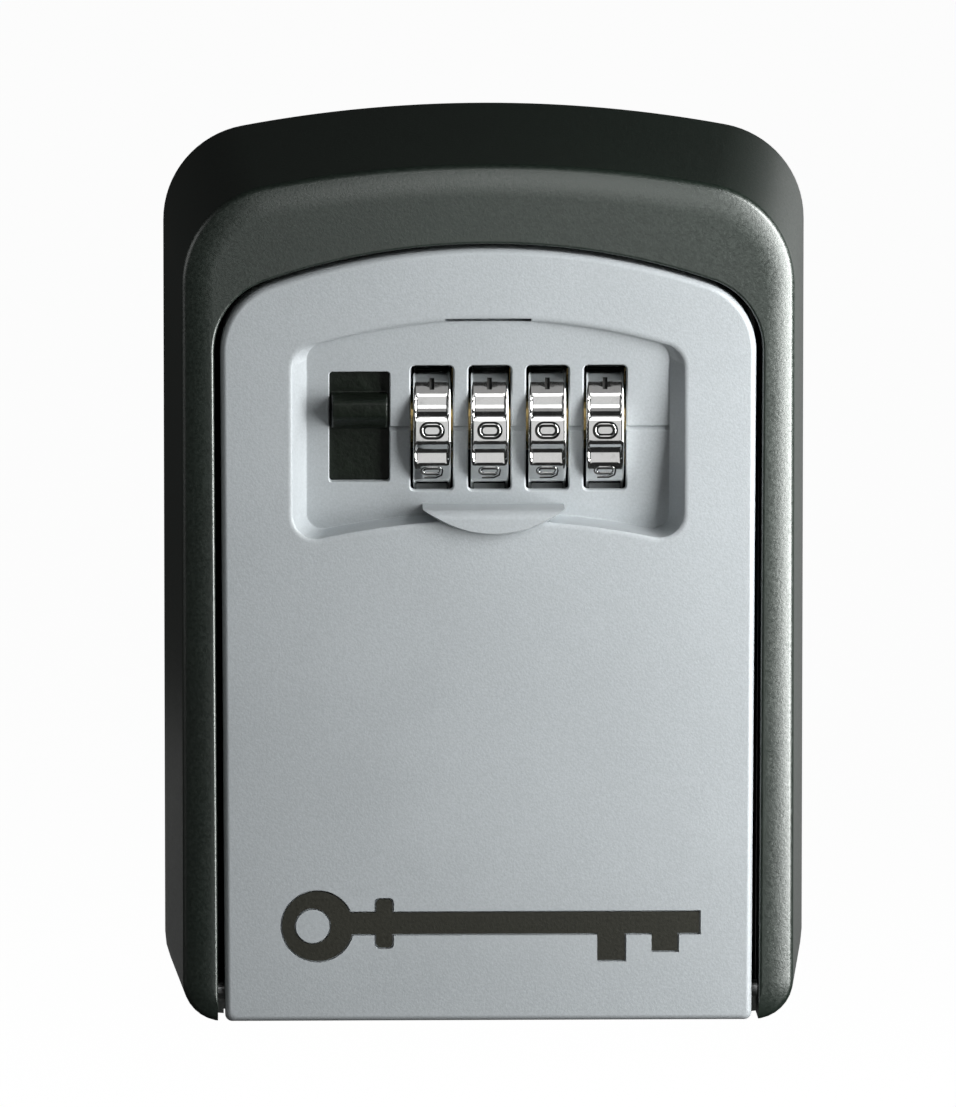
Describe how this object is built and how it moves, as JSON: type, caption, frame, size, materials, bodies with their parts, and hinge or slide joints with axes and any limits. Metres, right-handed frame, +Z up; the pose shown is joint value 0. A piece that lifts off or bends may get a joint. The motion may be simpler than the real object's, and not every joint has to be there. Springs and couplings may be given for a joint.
{
  "type": "wall-mounted combination key lock box",
  "caption": "Wall-mounted lock box for keys: a tapered housing with a bottom-hinged drop-down door carrying number dials, a release slider and a spring latch.",
  "frame": {"origin": "centre of the flat back face, on the wall", "axes": "+Y into the wall, +Z up along the box, +X to the right as seen from the front"},
  "size_m": [0.083, 0.034, 0.118],
  "materials": {
    "housing_paint": "satin",
    "door_paint": "satin",
    "emblem_paint": "matte",
    "black_plastic": "matte",
    "slider_plastic": "satin",
    "chrome": "polished",
    "brass": "machined",
    "steel": "zinc plated",
    "spring_steel": "drawn wire"
  },
  "bodies": {
    "housing": {"body_shell": "housing_paint", "hinge_pin": "steel"},
    "door": {"door_panel": "door_paint", "key_emblem": "emblem_paint", "mechanism_cover": "black_plastic", "cover_screw_1": "steel", "cover_screw_2": "steel", "cover_screw_3": "steel", "cover_screw_4": "steel", "dial_shaft": "steel", "shaft_clip": "steel", "shaft_spring": "spring_steel", "detent_spring": "spring_steel", "latch_spring": "spring_steel", "latch_clip_1": "steel", "latch_clip_2": "steel"},
    "slider": {"release_slider": "slider_plastic"},
    "latch": {"latch_plate": "steel"},
    "reset": {"reset_lever": "steel"},
    "dial_1": {"dial_1": "chrome"},
    "sleeve_1": {"code_sleeve_1": "brass"},
    "dial_2": {"dial_2": "chrome"},
    "sleeve_2": {"code_sleeve_2": "brass"},
    "dial_3": {"dial_3": "chrome"},
    "sleeve_3": {"code_sleeve_3": "brass"},
    "dial_4": {"dial_4": "chrome"},
    "sleeve_4": {"code_sleeve_4": "brass"}
  },
  "joints": [
    {"name": "door_hinge", "type": "hinge", "parent": "housing", "child": "door", "pos_m": [0, -0.0258, -0.0528], "axis": [1, 0, 0], "range_deg": [0, 100]},
    {"name": "dial_1_spin", "type": "hinge", "parent": "door", "child": "dial_1", "pos_m": [-0.0072, -0.022, 0.0213], "axis": [1, 0, 0], "continuous": true},
    {"name": "sleeve_1_shift", "type": "slide", "parent": "dial_1", "child": "sleeve_1", "axis": [1, 0, 0], "range_m": [0, 0.0009]},
    {"name": "dial_2_spin", "type": "hinge", "parent": "door", "child": "dial_2", "pos_m": [0.0002, -0.022, 0.0213], "axis": [1, 0, 0], "continuous": true},
    {"name": "sleeve_2_shift", "type": "slide", "parent": "dial_2", "child": "sleeve_2", "axis": [1, 0, 0], "range_m": [0, 0.0009]},
    {"name": "dial_3_spin", "type": "hinge", "parent": "door", "child": "dial_3", "pos_m": [0.0076, -0.022, 0.0213], "axis": [1, 0, 0], "continuous": true},
    {"name": "sleeve_3_shift", "type": "slide", "parent": "dial_3", "child": "sleeve_3", "axis": [1, 0, 0], "range_m": [0, 0.0009]},
    {"name": "dial_4_spin", "type": "hinge", "parent": "door", "child": "dial_4", "pos_m": [0.015, -0.022, 0.0213], "axis": [1, 0, 0], "continuous": true},
    {"name": "sleeve_4_shift", "type": "slide", "parent": "dial_4", "child": "sleeve_4", "axis": [1, 0, 0], "range_m": [0, 0.0009]},
    {"name": "release_slide", "type": "slide", "parent": "door", "child": "slider", "axis": [0, 0.1289, -0.9917], "range_m": [0, 0.0045], "stiffness_N_per_m": 450, "springref_m": -0.0015},
    {"name": "latch_slide", "type": "slide", "parent": "door", "child": "latch", "axis": [0, 0, -1], "range_m": [0, 0.0045], "deforming": ["latch_spring"]},
    {"name": "reset_shift", "type": "slide", "parent": "door", "child": "reset", "axis": [1, 0, 0], "range_m": [0, 0.0009], "stiffness_N_per_m": 900, "springref_m": -0.0004}
  ],
  "couplings": [
    {"joint": "sleeve_1_shift", "follows": "reset_shift", "ratio": 1},
    {"joint": "sleeve_2_shift", "follows": "reset_shift", "ratio": 1},
    {"joint": "sleeve_3_shift", "follows": "reset_shift", "ratio": 1},
    {"joint": "sleeve_4_shift", "follows": "reset_shift", "ratio": 1},
    {"joint": "latch_slide", "follows": "release_slide", "ratio": 0.9917}
  ]
}
